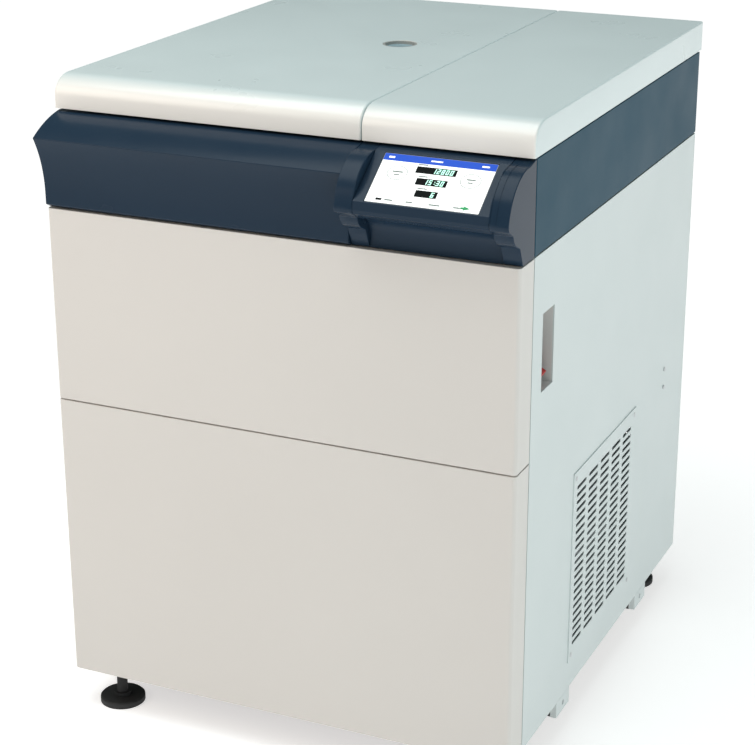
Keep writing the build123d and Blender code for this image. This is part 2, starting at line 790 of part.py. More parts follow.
shaft_bore = shaft_radius + running_fit
motor_low = motor_flange_top - motor_flange
with BuildPart() as motor_housing:
    upright(chamber_x, chamber_y, (motor_bottom, motor_low), motor_radius)
    upright(chamber_x, chamber_y, (motor_low, motor_flange_top), motor_flange_radius)
    upright(chamber_x, chamber_y, (motor_flange_top, motor_nose_top), motor_nose_radius)
    upright(
        chamber_x,
        chamber_y,
        (motor_bottom + 12, motor_low - 8),
        motor_radius - motor_wall,
        Mode.SUBTRACT,
    )
    upright(chamber_x, chamber_y, (motor_bottom + 4, motor_nose_top), shaft_bore, Mode.SUBTRACT)
save(motor_housing, "motor_housing")

shaft_top = rotor_bottom + rotor_height - hub_recess_depth
with BuildPart() as drive_shaft:
    upright(chamber_x, chamber_y, (motor_bottom + 6, shaft_top), shaft_radius)
    armature_bottom = motor_bottom + armature_inset
    upright(chamber_x, chamber_y, (armature_bottom, armature_bottom + armature_length), armature_radius)
    stud_bore = stud_radius + running_fit
    upright(chamber_x, chamber_y, (shaft_top - stud_length - 2, shaft_top), stud_bore, Mode.SUBTRACT)
save(drive_shaft, "drive_shaft")

rotor_top = rotor_bottom + rotor_height
with BuildPart() as rotor:
    with BuildSketch(Plane.XZ) as half:
        with BuildLine():
            Polyline(
                (shaft_bore, rotor_bottom),
                (rotor_radius - rotor_foot_inset, rotor_bottom),
                (rotor_radius, rotor_bottom + rotor_foot_height),
                (rotor_radius, rotor_bottom + rotor_rim_height),
                (rotor_top_radius, rotor_top),
                (hub_recess_radius, rotor_top),
                (hub_recess_radius, shaft_top),
                (shaft_bore, shaft_top),
                close=True,
            )
        make_face()
    revolve(axis=Axis.Z)
    fillet(rotor.edges().filter_by(GeomType.CIRCLE).group_by(SortBy.RADIUS)[-1], 4)
    for index in range(pocket_count):
        turn = Rotation(0, 0, index * 360 / pocket_count)
        mouth = Location((pocket_circle, 0, rotor_top), (0, 180 - pocket_tilt, 0))
        with Locations(turn * mouth):
            Cylinder(
                pocket_radius,
                pocket_depth,
                align=(Align.CENTER, Align.CENTER, Align.MIN),
                mode=Mode.SUBTRACT,
            )
            Cylinder(
                pocket_radius,
                20,
                align=(Align.CENTER, Align.CENTER, Align.MAX),
                mode=Mode.SUBTRACT,
            )
rotor.part.locate(Location((chamber_x, chamber_y, 0)))
save(rotor, "rotor")

with BuildPart() as rotor_knob:
    upright(chamber_x, chamber_y, (shaft_top - stud_length, shaft_top + 1), stud_radius)
    upright(chamber_x, chamber_y, (shaft_top + clearance, shaft_top + clearance + knob_height), knob_radius)
    fillet(rotor_knob.edges().group_by(Axis.Z)[-1], 4)
    with BuildSketch(Plane(origin=(chamber_x, chamber_y, shaft_top + clearance))):
        with PolarLocations(knob_radius + 2, 8):
            Circle(5)
    extrude(amount=knob_height, mode=Mode.SUBTRACT)
save(rotor_knob, "rotor_knob")

# Divider between the chamber and the right-hand bay
bay_z = (base_top, deck_z[0])
with BuildPart() as divider_wall:
    block((divider_x, divider_x + sheet), (post_front + skirt_wall, inner_back), bay_z)
save(divider_wall, "divider_wall")

# Intake grille on the right side: a plate with rows of slots, held by four screws
with BuildPart() as intake_grille:
    block((right, right + grille_thickness), grille_y, grille_z)
    slot_middle = ((grille_y[0] + grille_y[1]) / 2 - 5, (grille_z[0] + grille_z[1]) / 2)
    with BuildSketch(Plane(origin=(right, *slot_middle), x_dir=(0, 1, 0), z_dir=(1, 0, 0))):
        with GridLocations(slot_pitch_y, slot_pitch_z, slot_columns, slot_rows):
            SlotOverall(slot_length, slot_width)
    extrude(amount=grille_thickness, mode=Mode.SUBTRACT)
    for y, z in grille_screw_places:
        along_x((right, right + grille_thickness), y, z, screw_shank_radius + running_fit, Mode.SUBTRACT)
save(intake_grille, "intake_grille")

with BuildPart() as side_screws:
    for y, z in grille_screw_places:
        along_x((right - 8, right + grille_thickness), y, z, screw_shank_radius)
        along_x((right + grille_thickness, right + lid_overhang), y, z, screw_head_radius)
    for y, z in rear_screw_places:
        along_x((right - 8, right), y, z, screw_shank_radius)
        along_x((right, right + grille_thickness), y, z, screw_head_radius)
save(side_screws, "side_screws")

# Switch recess, breaker and its red toggle
recess_back = right - sheet - recess_depth
with BuildPart() as switch_recess:
    outer_y = (recess_y[0] - recess_wall, recess_y[1] + recess_wall)
    outer_z = (recess_z[0] - recess_wall, recess_z[1] + recess_wall)
    block((recess_back, right - sheet), outer_y, outer_z)
    block((recess_back + recess_wall, right - sheet), recess_y, recess_z, Mode.SUBTRACT)
save(switch_recess, "switch_recess")

breaker_y = (recess_y[0] + recess_y[1]) / 2
breaker_floor = recess_back + recess_wall
pivot_x = breaker_floor + breaker_depth - toggle_hub_radius
pivot_z = floor_gap + toggle_z
toggle_half = 8.0
with BuildPart() as breaker_body:
    block(
        (breaker_floor, breaker_floor + breaker_depth),
        (breaker_y - breaker_width / 2, breaker_y + breaker_width / 2),
        (pivot_z - breaker_height / 3, pivot_z + breaker_height * 2 / 3),
    )
    block(
        (pivot_x - toggle_hub_radius - 1, breaker_floor + breaker_depth),
        (breaker_y - toggle_half - clearance, breaker_y + toggle_half + clearance),
        (pivot_z - 15, pivot_z + 15),
        Mode.SUBTRACT,
    )
    pin_y = (breaker_y - breaker_width / 2 + 3, breaker_y + breaker_width / 2 - 3)
    along_y(pivot_x, pin_y, pivot_z, toggle_pin_radius + running_fit, Mode.SUBTRACT)
save(breaker_body, "breaker_body")

with BuildPart() as breaker_toggle:
    hub_y = (breaker_y - toggle_half, breaker_y + toggle_half)
    along_y(pivot_x, hub_y, pivot_z, toggle_hub_radius)
    along_y(pivot_x, (pin_y[0] + clearance, pin_y[1] - clearance), pivot_z, toggle_pin_radius)
    with Locations(Location((pivot_x, breaker_y, pivot_z), (0, 90 + toggle_tilt, 0))):
        Box(8, 2 * toggle_half, toggle_length, align=(Align.CENTER, Align.CENTER, Align.MIN))
save(breaker_toggle, "breaker_toggle")

# Condenser behind the grille, with its fan and shroud
condenser_x = (right - sheet - condenser_gap - condenser_depth, right - sheet - condenser_gap)
condenser_z = (base_top + 24, grille_z[1])
with BuildPart() as condenser:
    for y in (grille_y[0], grille_y[1] - 4):
        block(condenser_x, (y, y + 4), (base_top, condenser_z[1]))
    fin_pitch = (condenser_z[1] - condenser_z[0]) / fin_count
    for index in range(fin_count):
        z = condenser_z[0] + (index + 0.5) * fin_pitch
        block(condenser_x, (grille_y[0] + 4, grille_y[1] - 4), (z - fin_thickness / 2, z + fin_thickness / 2))
    for index in range(6):
        y = grille_y[0] + (index + 0.5) * (grille_y[1] - grille_y[0]) / 6
        first_fin, last_fin = condenser_z[0] + fin_pitch / 2, condenser_z[1] - fin_pitch / 2
        upright((condenser_x[0] + condenser_x[1]) / 2, y, (first_fin, last_fin), 5)
save(condenser, "condenser")

fan_y = (grille_y[0] + grille_y[1]) / 2
fan_z = (condenser_z[0] + condenser_z[1]) / 2
shroud_x = (condenser_x[0] - clearance - shroud_depth, condenser_x[0] - clearance)
motor_x = (shroud_x[0] - fan_motor_length + 10, shroud_x[0] + 10)
shroud_bore = fan_radius + fan_tip_gap
with BuildPart() as fan_shroud:
    block((shroud_x[1] - 3, shroud_x[1]), grille_y, (base_top, condenser_z[1]))
    along_x(shroud_x, fan_y, fan_z, shroud_bore + 3)
    along_x(shroud_x, fan_y, fan_z, shroud_bore, Mode.SUBTRACT)
    for index in range(4):
        with Locations(Location((shroud_x[0] + 3, fan_y, fan_z), (45 + 90 * index, 0, 0))):
            Box(6, 8, shroud_bore + 2, align=(Align.CENTER, Align.CENTER, Align.MIN))
    along_x(motor_x, fan_y, fan_z, fan_motor_radius)
    along_x((motor_x[1] - 20, motor_x[1]), fan_y, fan_z, axle_radius + running_fit, Mode.SUBTRACT)
save(fan_shroud, "fan_shroud")

fan_x = (motor_x[1] + 1, motor_x[1] + 1 + fan_hub_length)
with BuildPart() as fan:
    along_x(fan_x, fan_y, fan_z, fan_hub_radius)
    along_x((motor_x[1] - 18, fan_x[0]), fan_y, fan_z, axle_radius)
    for index in range(fan_blades):
        turn = Rotation(index * 360 / fan_blades, 0, 0)
        blade = Location((0, 0, fan_hub_radius - 4), (0, 0, 28))
        with Locations(Location(((fan_x[0] + fan_x[1]) / 2, fan_y, fan_z)) * turn * blade):
            Box(
                2.5,
                34,
                fan_radius - fan_hub_radius + 2,
                align=(Align.CENTER, Align.CENTER, Align.MIN),
            )
save(fan, "fan")

# Compressor at the back of the bay and its pipe to the condenser
compressor_base = base_top + grommet_height
with BuildPart() as compressor:
    block(
        (compressor_x - compressor_foot / 2, compressor_x + compressor_foot / 2),
        (compressor_y - compressor_foot / 2, compressor_y + compressor_foot / 2),
        (compressor_base, compressor_base + 4),
    )
    upright(
        compressor_x,
        compressor_y,
        (compressor_base + 4, compressor_base + compressor_height),
        compressor_radius,
    )
    fillet(compressor.edges().group_by(Axis.Z)[-1], compressor_radius * compressor_dome)
    upright(compressor_x, compressor_y, (compressor_base + 100, compressor_base + 104), compressor_radius + 3)
save(compressor, "compressor")

pipe_start = (compressor_x, compressor_y, compressor_base + compressor_height + clearance)
pipe_level = condenser_z[1] + 60
condenser_pipe_y = grille_y[0] + 5.5 * (grille_y[1] - grille_y[0]) / 6
pipe_end = (
    (condenser_x[0] + condenser_x[1]) / 2,
    condenser_pipe_y,
    condenser_z[1] - fin_pitch / 2 + fin_thickness / 2 + clearance,
)
with BuildPart() as refrigerant_pipe:
    with BuildLine():
        FilletPolyline(
            pipe_start,
            (pipe_start[0], pipe_start[1], pipe_level),
            (pipe_end[0], pipe_end[1], pipe_level),
            pipe_end,
            radius=22,
        )
    with BuildSketch(Plane(origin=pipe_start)):
        Circle(pipe_radius)
    sweep()
save(refrigerant_pipe, "refrigerant_pipe")

# Power electronics on the divider
electronics_x = (divider_x + sheet, recess_back - electronics_gap)
electronics_y = (front + electronics_front, front + electronics_back)
electronics_z = (panel_top - electronics_height, panel_top)
with BuildPart() as electronics_box:
    block(electronics_x, electronics_y, electronics_z)
    fin_step = (electronics_y[1] - electronics_y[0]) / (electronics_fins + 1)
    for index in range(electronics_fins):
        y = electronics_y[0] + (index + 1) * fin_step
        block(
            (electronics_x[1] - fin_slot_depth, electronics_x[1]),
            (y - fin_slot_width / 2, y + fin_slot_width / 2),
            (electronics_z[0], electronics_z[1]),
            Mode.SUBTRACT,
        )
save(electronics_box, "electronics_box")


# Front mouldings, drawn from the side in lengths back from the front panels and up from the foot
moulding_top = band_top - floor_gap
moulding_hem = panel_height + hem_rise
rim_start = wrap_depth - rim_depth
nose = (-console_reach, panel_height + nose_rise)
nose_lip = (-console_reach + lip_back, panel_height + lip_rise)
under = (-under_reach, panel_height + under_rise)
screen_foot = (-screen_foot_reach, panel_height + screen_foot_rise)
screen_head = (screen_head_back, moulding_top - screen_head_drop)


def bar_outline():
    """The front bar: a rounded brow with a hollow face below it."""
    brow = (-bar_reach, moulding_top - brow_drop)
    step = (-step_reach, panel_height + step_rise)
    step_foot = (-step_reach, panel_height + step_foot_rise)
    hem = (bar_hem_back, moulding_hem)
    with BuildSketch() as view:
        with BuildLine():
            ThreePointArc((rim_start, moulding_top), (shoulder_back, moulding_top - shoulder_drop), brow)
            ThreePointArc(brow, (-hollow_reach, panel_height + hollow_rise), step)
            Polyline(step, step_foot, hem, (wrap_depth, moulding_hem))
            Line((wrap_depth, moulding_hem), (wrap_depth, moulding_top))
            Line((wrap_depth, moulding_top), (rim_start, moulding_top))
        make_face()
    return view.sketch


def cheek_outline():
    """A console cheek: a full round nose over an undercut."""
    crown = (-crown_reach, moulding_top - crown_drop)
    steps = [(-reach, panel_height + rise) for reach, rise in cheek_steps]
    hem = (cheek_hem_back, moulding_hem)
    with BuildSketch() as view:
        with BuildLine():
            Line((wrap_depth, moulding_top), (rim_start, moulding_top))
            Line((rim_start, moulding_top), screen_head)
            ThreePointArc(screen_head, crown, nose)
            Polyline(nose, nose_lip, under, *steps, hem, (wrap_depth, moulding_hem))
            Line((wrap_depth, moulding_hem), (wrap_depth, moulding_top))
        make_face()
    return view.sketch


def centre_outline():
    """The console between its cheeks: a flat slope for the screen and a finger scoop below it."""
    nose_face = (nose[0] + 1, nose[1])
    lip_face = (nose_lip[0] + 1, nose_lip[1])
    scoop = (scoop_back, panel_height + scoop_rise)
    hem = (scoop_hem_back, moulding_hem)
    with BuildSketch() as view:
        with BuildLine():
            Line((wrap_depth, moulding_top), (rim_start, moulding_top))
            Polyline((rim_start, moulding_top), screen_head, screen_foot, nose_face, lip_face, under)
            ThreePointArc(under, scoop, hem)
            Line(hem, (wrap_depth, moulding_hem))
            Line((wrap_depth, moulding_hem), (wrap_depth, moulding_top))
        make_face()
    return view.sketch


def moulding(outline, x0, x1):
    """A hollow moulding between two limits of X, with closed ends."""
    with BuildPart() as shell:
        with BuildSketch(side_plane(x0)):
            add(outline)
        extrude(amount=x1 - x0)
        with BuildSketch(side_plane(x0 + moulding_wall)):
            add(outline)
            offset(amount=-moulding_wall, kind=Kind.INTERSECTION, mode=Mode.REPLACE)
        extrude(amount=x1 - x0 - 2 * moulding_wall, mode=Mode.SUBTRACT)
    return shell


with BuildPart() as front_bar:
    add(moulding(bar_outline(), left, lid_split - clearance).part)
save(front_bar, "front_bar")

centre_left = lid_split + cheek_width + clearance
centre_right = right - cheek_width - clearance
with BuildPart() as console_cheeks:
    for x in (lid_split, right - cheek_width):
        add(moulding(cheek_outline(), x, x + cheek_width).part)
save(console_cheeks, "console_cheeks")

slope = (screen_head[0] - screen_foot[0], screen_head[1] - screen_foot[1])
slope_length = hypot(*slope)
slope_angle = degrees(asin(slope[1] / slope_length))
screen_x = (centre_left + centre_right) / 2
screen_middle = ((screen_head[0] + screen_foot[0]) / 2, (screen_head[1] + screen_foot[1]) / 2)
screen_plane = Plane(
    origin=(screen_x, front + screen_middle[0], floor_gap + screen_middle[1]),
    x_dir=(1, 0, 0),
    z_dir=(0, -sin(radians(slope_angle)), cos(radians(slope_angle))),
)
with BuildPart() as console_centre:
    add(moulding(centre_outline(), centre_left, centre_right).part)
    with BuildSketch(screen_plane.offset(-moulding_wall - 1)):
        Rectangle(screen_width + 2 * clearance, screen_height + 2 * clearance)
    extrude(amount=moulding_wall + 2, mode=Mode.SUBTRACT)
save(console_centre, "console_centre")

with BuildPart() as touch_screen:
    with BuildSketch(screen_plane.offset(-screen_recess - screen_thickness)):
        RectangleRounded(screen_width, screen_height, 2)
    extrude(amount=screen_thickness)
save(touch_screen, "touch_screen")

with BuildPart() as display_module:
    with BuildSketch(screen_plane.offset(-screen_recess - screen_thickness - module_depth)):
        Rectangle(screen_width - 4, screen_height - 16)
    extrude(amount=module_depth)
save(display_module, "display_module")
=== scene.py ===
# %% [markdown]
# # A floor-standing refrigerated centrifuge
# The solids of the machine are already made, to the millimetre, and they are loaded here as a
# fixed frame. This script gives them their finish: painted sheet metal with soft folded edges,
# dark mouldings, a lit screen, rubber feet, a steel chamber and a metal rotor. No piece is moved,
# and only the breaker's small red lever is drawn longer than its solid. A piece that needs softer
# edges than its solid is copied in the same place, and the copy takes the solid's part.

# %% Load the frame, and a way to measure a part's box
import json
from math import atan2, cos, pi, radians, sin

import bmesh
import bpy
from mathutils import Matrix, Vector


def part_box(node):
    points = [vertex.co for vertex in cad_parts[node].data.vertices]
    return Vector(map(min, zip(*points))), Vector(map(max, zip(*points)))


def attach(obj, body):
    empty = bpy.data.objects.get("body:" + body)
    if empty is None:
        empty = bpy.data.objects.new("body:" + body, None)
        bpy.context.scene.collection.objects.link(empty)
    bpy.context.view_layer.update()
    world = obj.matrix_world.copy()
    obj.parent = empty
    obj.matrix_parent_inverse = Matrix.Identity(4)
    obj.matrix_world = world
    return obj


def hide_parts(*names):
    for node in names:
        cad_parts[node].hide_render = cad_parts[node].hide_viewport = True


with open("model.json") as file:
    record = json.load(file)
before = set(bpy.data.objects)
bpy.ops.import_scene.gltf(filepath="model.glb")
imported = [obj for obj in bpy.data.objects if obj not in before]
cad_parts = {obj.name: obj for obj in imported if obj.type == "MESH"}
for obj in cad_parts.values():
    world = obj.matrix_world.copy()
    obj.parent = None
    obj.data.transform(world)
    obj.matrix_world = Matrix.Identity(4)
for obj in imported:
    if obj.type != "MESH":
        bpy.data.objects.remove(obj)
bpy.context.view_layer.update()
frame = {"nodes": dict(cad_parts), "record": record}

millimetre = 0.001
nodes = frame["nodes"]

# %% [markdown]
# ## Camera
# The photograph was taken from the front right, a little above the lid. A camera fitted to the
# cabinet's straight edges gives the place, the two angles and the focal length used here. The
# camera's three axes are written as the columns of its matrix: right, up and back.

# %% Camera
camera_place = Vector((1.1649, -2.6107, 1.5268))
camera_azimuth = radians(24.40)
camera_elevation = radians(20.44)
camera_roll = radians(-0.12)
camera_lens = 94.64
far_clip = 200

backward = Vector(
    (
        sin(camera_azimuth) * cos(camera_elevation),
        -cos(camera_azimuth) * cos(camera_elevation),
        sin(camera_elevation),
    )
)
sideways = Vector((0, 0, 1)).cross(backward).normalized()
upward = backward.cross(sideways)
turned = Matrix((sideways, upward, backward)).transposed().to_4x4()
camera_data = bpy.data.cameras.new("camera")
camera_data.lens = camera_lens
camera_data.clip_end = far_clip
camera = bpy.data.objects.new("camera", camera_data)
rolled = Matrix.Rotation(camera_roll, 4, "Z")
camera.matrix_world = Matrix.Translation(camera_place) @ turned @ rolled
bpy.context.scene.collection.objects.link(camera)
bpy.context.scene.camera = camera

# %% [markdown]
# ## Floor and light
# The machine stands on a plain pale floor in an even studio light. The floor glows a little, and
# more so farther out, so that it fades to white while a soft shadow stays under the machine. The
# front looks warm in the photograph and the side and top look cool, so a warm soft light stands at
# the front left, and cool ones hang above and stand to the right.

# %% Floor
scene = bpy.context.scene
scene.view_settings.view_transform = "Standard"


def add_object(name, mesh):
    """Put a mesh in the scene as a new object at the origin."""
    obj = bpy.data.objects.new(name, mesh)
    bpy.context.scene.collection.objects.link(obj)
    return obj


def to_object(name, bm):
    """Turn a finished bmesh into an object and free the bmesh."""
    mesh = bpy.data.meshes.new(name)
    bm.to_mesh(mesh)
    bm.free()
    return add_object(name, mesh)


floor_half = 60.0
glow_near, glow_far = 0.8, 3.5
glow_low, glow_high = 0.60, 0.86
bm = bmesh.new()
bmesh.ops.create_grid(bm, x_segments=1, y_segments=1, size=floor_half)
floor = to_object("studio_floor", bm)

floor_paint = bpy.data.materials.new("studio_floor")
floor_paint.use_nodes = True
floor_shader = floor_paint.node_tree.nodes["Principled BSDF"]
floor_shader.inputs["Base Color"].default_value = (0.80, 0.80, 0.80, 1)
floor_shader.inputs["Roughness"].default_value = 0.9
floor_shader.inputs["Specular IOR Level"].default_value = 0.0
floor_shader.inputs["Emission Color"].default_value = (1.0, 0.97, 0.96, 1)
floor_tree = floor_paint.node_tree
floor_place = floor_tree.nodes.new("ShaderNodeTexCoord")
floor_distance = floor_tree.nodes.new("ShaderNodeVectorMath")
floor_distance.operation = "LENGTH"
floor_glow = floor_tree.nodes.new("ShaderNodeMapRange")
floor_glow.inputs["From Min"].default_value = glow_near
floor_glow.inputs["From Max"].default_value = glow_far
floor_glow.inputs["To Min"].default_value = glow_low
floor_glow.inputs["To Max"].default_value = glow_high
floor_tree.links.new(floor_place.outputs["Object"], floor_distance.inputs[0])
floor_tree.links.new(floor_distance.outputs["Value"], floor_glow.inputs["Value"])
floor_tree.links.new(floor_glow.outputs["Result"], floor_shader.inputs["Emission Strength"])
floor.data.materials.append(floor_paint)

# %% Lights
world = bpy.data.worlds.new("studio")
scene.world = world
world.use_nodes = True
sky = world.node_tree.nodes["Background"]
sky.inputs["Color"].default_value = (0.80, 1.0, 1.0, 1)
sky.inputs["Strength"].default_value = 0.2


def soft_light(name, place, aim, size, power, color):
    """A large square light that looks from one point towards another."""
    data = bpy.data.lights.new(name, "AREA")
    data.shape = "RECTANGLE"
    data.size, data.size_y = size
    data.energy = power
    data.color = color
    light = bpy.data.objects.new(name, data)
    direction = Vector(aim) - Vector(place)
    light.rotation_euler = direction.to_track_quat("-Z", "Y").to_euler()
    light.location = place
    bpy.context.scene.collection.objects.link(light)


warm, cool, cooler = (1.0, 0.84, 0.72), (0.95, 1.0, 1.0), (0.88, 1.0, 1.0)
soft_light("warm_front_light", (-1.5, -1.8, 1.7), (-0.1, -0.4, 0.8), (1.4, 1.4), 15.0, warm)
soft_light("cool_top_light", (-0.4, -0.6, 3.4), (0, 0, 0.9), (2.4, 2.4), 60.0, cool)
soft_light("cool_side_light", (3.5, -0.8, 1.4), (0.3, 0, 0.5), (2.0, 2.4), 29.0, cooler)

# %% [markdown]
# ## Effects shared by the materials
# Three small node groups do the work that most finishes have in common. One makes a fine bump,
# such as the orange peel of powder coat or the grain of moulded plastic. One drifts a value
# slowly over the surface, so that no panel is perfectly even. One draws the long fine lines of
# brushed metal. Each is built once, and every material places it with its own sizes.


# %% Node group: fine grain
def group_with(name, inputs, outputs):
    """A new shader node group with named sockets; returns it with its input and output nodes."""
    group = bpy.data.node_groups.new(name, "ShaderNodeTree")
    for label, kind, default in inputs:
        socket = group.interface.new_socket(label, in_out="INPUT", socket_type=kind)
        socket.default_value = default
    for label, kind in outputs:
        group.interface.new_socket(label, in_out="OUTPUT", socket_type=kind)
    return group, group.nodes.new("NodeGroupInput"), group.nodes.new("NodeGroupOutput")


grain_group, entry, leave = group_with(
    "fine_grain",
    [("Scale", "NodeSocketFloat", 900.0), ("Detail", "NodeSocketFloat", 2.0)],
    [("Height", "NodeSocketFloat")],
)
place = grain_group.nodes.new("ShaderNodeTexCoord")
noise = grain_group.nodes.new("ShaderNodeTexNoise")
grain_group.links.new(place.outputs["Object"], noise.inputs["Vector"])
grain_group.links.new(entry.outputs["Scale"], noise.inputs["Scale"])
grain_group.links.new(entry.outputs["Detail"], noise.inputs["Detail"])
grain_group.links.new(noise.outputs["Fac"], leave.inputs["Height"])

# %% Node group: slow drift between two values
drift_group, entry, leave = group_with(
    "slow_drift",
    [
        ("Scale", "NodeSocketFloat", 5.0),
        ("Low", "NodeSocketFloat", 0.3),
        ("High", "NodeSocketFloat", 0.4),
    ],
    [("Value", "NodeSocketFloat")],
)
place = drift_group.nodes.new("ShaderNodeTexCoord")
noise = drift_group.nodes.new("ShaderNodeTexNoise")
noise.inputs["Detail"].default_value = 3.0
span = drift_group.nodes.new("ShaderNodeMapRange")
span.inputs["From Min"].default_value = 0.3
span.inputs["From Max"].default_value = 0.7
drift_group.links.new(place.outputs["Object"], noise.inputs["Vector"])
drift_group.links.new(entry.outputs["Scale"], noise.inputs["Scale"])
drift_group.links.new(noise.outputs["Fac"], span.inputs["Value"])
drift_group.links.new(entry.outputs["Low"], span.inputs["To Min"])
drift_group.links.new(entry.outputs["High"], span.inputs["To Max"])
drift_group.links.new(span.outputs["Result"], leave.inputs["Value"])

# %% Node group: brushed lines
brush_group, entry, leave = group_with(
    "brushed_lines",
    [("Stretch", "NodeSocketVector", (40.0, 1500.0, 1500.0))],
    [("Height", "NodeSocketFloat")],
)
place = brush_group.nodes.new("ShaderNodeTexCoord")
scaled = brush_group.nodes.new("ShaderNodeVectorMath")
scaled.operation = "MULTIPLY"
noise = brush_group.nodes.new("ShaderNodeTexNoise")
noise.inputs["Scale"].default_value = 1.0
noise.inputs["Detail"].default_value = 2.0
brush_group.links.new(place.outputs["Object"], scaled.inputs[0])
brush_group.links.new(entry.outputs["Stretch"], scaled.inputs[1])
brush_group.links.new(scaled.outputs["Vector"], noise.inputs["Vector"])
brush_group.links.new(noise.outputs["Fac"], leave.inputs["Height"])

# %% [markdown]
# ## Finishes
# Every finish is a Principled BSDF with the same four things around it: a colour that drifts a
# little, a roughness that drifts a little, a fine bump, and its own gloss. One function builds
# that much, and the special finishes add to what it returns.


# %% A finish from its plain facts
tone_scale, gloss_scale = 3.0, 11.0
gloss_low, gloss_high = 0.9, 1.15
bump_distance = 0.0002


def finish_of(
    name, color, rough, drift=0.06, grain=0.0, grain_scale=900.0, brushed=None, **shader_values
):
    """A material with drifting colour and roughness and a fine bump."""
    material = bpy.data.materials.new(name)
    material.use_nodes = True
    tree = material.node_tree
    shader = tree.nodes["Principled BSDF"]
    for label, value in shader_values.items():
        shader.inputs[label.replace("_", " ")].default_value = value

    tone = tree.nodes.new("ShaderNodeGroup")
    tone.node_tree = drift_group
    tone.inputs["Scale"].default_value = tone_scale
    tone.inputs["Low"].default_value = 1 - drift / 2
    tone.inputs["High"].default_value = 1 + drift / 2
    tint = tree.nodes.new("ShaderNodeVectorMath")
    tint.operation = "SCALE"
    tint.inputs[0].default_value = color
    tree.links.new(tone.outputs["Value"], tint.inputs["Scale"])
    tree.links.new(tint.outputs["Vector"], shader.inputs["Base Color"])

    gloss = tree.nodes.new("ShaderNodeGroup")
    gloss.node_tree = drift_group
    gloss.inputs["Scale"].default_value = gloss_scale
    gloss.inputs["Low"].default_value = rough * gloss_low
    gloss.inputs["High"].default_value = min(1.0, rough * gloss_high)
    tree.links.new(gloss.outputs["Value"], shader.inputs["Roughness"])

    if grain or brushed:
        texture = tree.nodes.new("ShaderNodeGroup")
        texture.node_tree = brush_group if brushed else grain_group
        if brushed:
            texture.inputs["Stretch"].default_value = brushed
        else:
            texture.inputs["Scale"].default_value = grain_scale
        bump = tree.nodes.new("ShaderNodeBump")
        bump.inputs["Strength"].default_value = grain
        bump.inputs["Distance"].default_value = bump_distance
        tree.links.new(texture.outputs["Height"], bump.inputs["Height"])
        tree.links.new(bump.outputs["Normal"], shader.inputs["Normal"])
    return material


# %% The finishes of this machine
# The front panels' warm white and the side panels' pale aqua are one white paint. The warm tint is
# painted warm front light and the aqua tint is painted cool side light, added to the tinted lamps.
warm_lit_front_paint = finish_of("warm_white_paint", (0.72, 0.68, 0.645), 0.40, 0.02, 0.05, 700)
cool_lit_side_paint = finish_of("pale_aqua_paint", (0.67, 0.72, 0.715), 0.38, 0.02, 0.05, 700)
recess_plastic = finish_of("recess_plastic", (0.72, 0.71, 0.69), 0.5, 0.06, 0.25, 1400)
# The lid's and top cover's aqua is painted cool light from above on the same white paint. Its
# front roll is blended to painted warm front light further down.
lid_paint_painted_light = finish_of(
    "lid_paint_painted_light", (0.705, 0.78, 0.78), 0.30, 0.02, 0.04, 700, Coat_Weight=0.3, Coat_Roughness=0.2
)
moulding = finish_of(
    "dark_blue_moulding", (0.014, 0.031, 0.056), 0.24, 0.12, 0.08, 1200, Specular_IOR_Level=0.14
)
band_paint = finish_of(
    "dark_blue_paint", (0.030, 0.082, 0.120), 0.38, 0.06, 0.05, 800, Specular_IOR_Level=0.05
)
steel = finish_of("bare_steel", (0.56, 0.57, 0.58), 0.36, 0.08, 0.05, 500, Metallic=1.0)
stainless = finish_of(
    "stainless_steel", (0.62, 0.62, 0.61), 0.40, 0.05, 0.05, brushed=(700, 15, 700), Metallic=1.0
)
black_plastic = finish_of("black_plastic", (0.018, 0.018, 0.020), 0.45, 0.15, 0.25, 1400)
grey_plastic = finish_of("grey_plastic", (0.34, 0.34, 0.32), 0.5, 0.06, 0.25, 1400)
red_plastic = finish_of("red_plastic", (0.55, 0.022, 0.018), 0.28, 0.08, 0.08, 1500)
rubber = finish_of("black_rubber", (0.022, 0.022, 0.023), 0.72, 0.25, 0.4, 1200)
foam = finish_of("foam", (0.78, 0.70, 0.48), 0.9, 0.15, 0.6, 300)
alloy = finish_of("rotor_alloy", (0.085, 0.09, 0.10), 0.34, 0.1, 0.10, 900, Metallic=0.85)
enamel = finish_of("black_enamel", (0.020, 0.020, 0.021), 0.30, 0.15, 0.12, 600)
copper = finish_of("copper_tube", (0.72, 0.36, 0.22), 0.28, 0.2, 0.08, 400, Metallic=1.0)
fins = finish_of(
    "fin_aluminium", (0.66, 0.67, 0.68), 0.36, 0.1, 0.12, brushed=(30, 900, 900), Metallic=1.0
)
window = finish_of("window_acrylic", (0.55, 0.74, 0.82), 0.06, 0.04, Alpha=0.55, IOR=1.49)
glass = finish_of("screen_glass", (0.012, 0.013, 0.016), 0.07, 0.05, Coat_Weight=1.0)

# %% [markdown]
# The lid's rolled front edge is painted lighter and warmer, as painted warm front light, while its
# flat top keeps the painted cool light of the lid's aqua.
# A small group measures how far the surface faces forward, and the lid's paint uses it to blend
# from the cool white to the warm one over the roll.

# %% Painted warm light on the lid's front edge
painted_front_light_group, entry, leave = group_with("facing_front", [], [("Mask", "NodeSocketFloat")])
place = painted_front_light_group.nodes.new("ShaderNodeTexCoord")
facing = painted_front_light_group.nodes.new("ShaderNodeVectorMath")
facing.operation = "DOT_PRODUCT"
facing.inputs[1].default_value = (0, -1, 0)
ease = painted_front_light_group.nodes.new("ShaderNodeMapRange")
ease.inputs["From Min"].default_value = 0.2
ease.inputs["From Max"].default_value = 0.85
painted_front_light_group.links.new(place.outputs["Normal"], facing.inputs[0])
painted_front_light_group.links.new(facing.outputs["Value"], ease.inputs["Value"])
painted_front_light_group.links.new(ease.outputs["Result"], leave.inputs["Mask"])

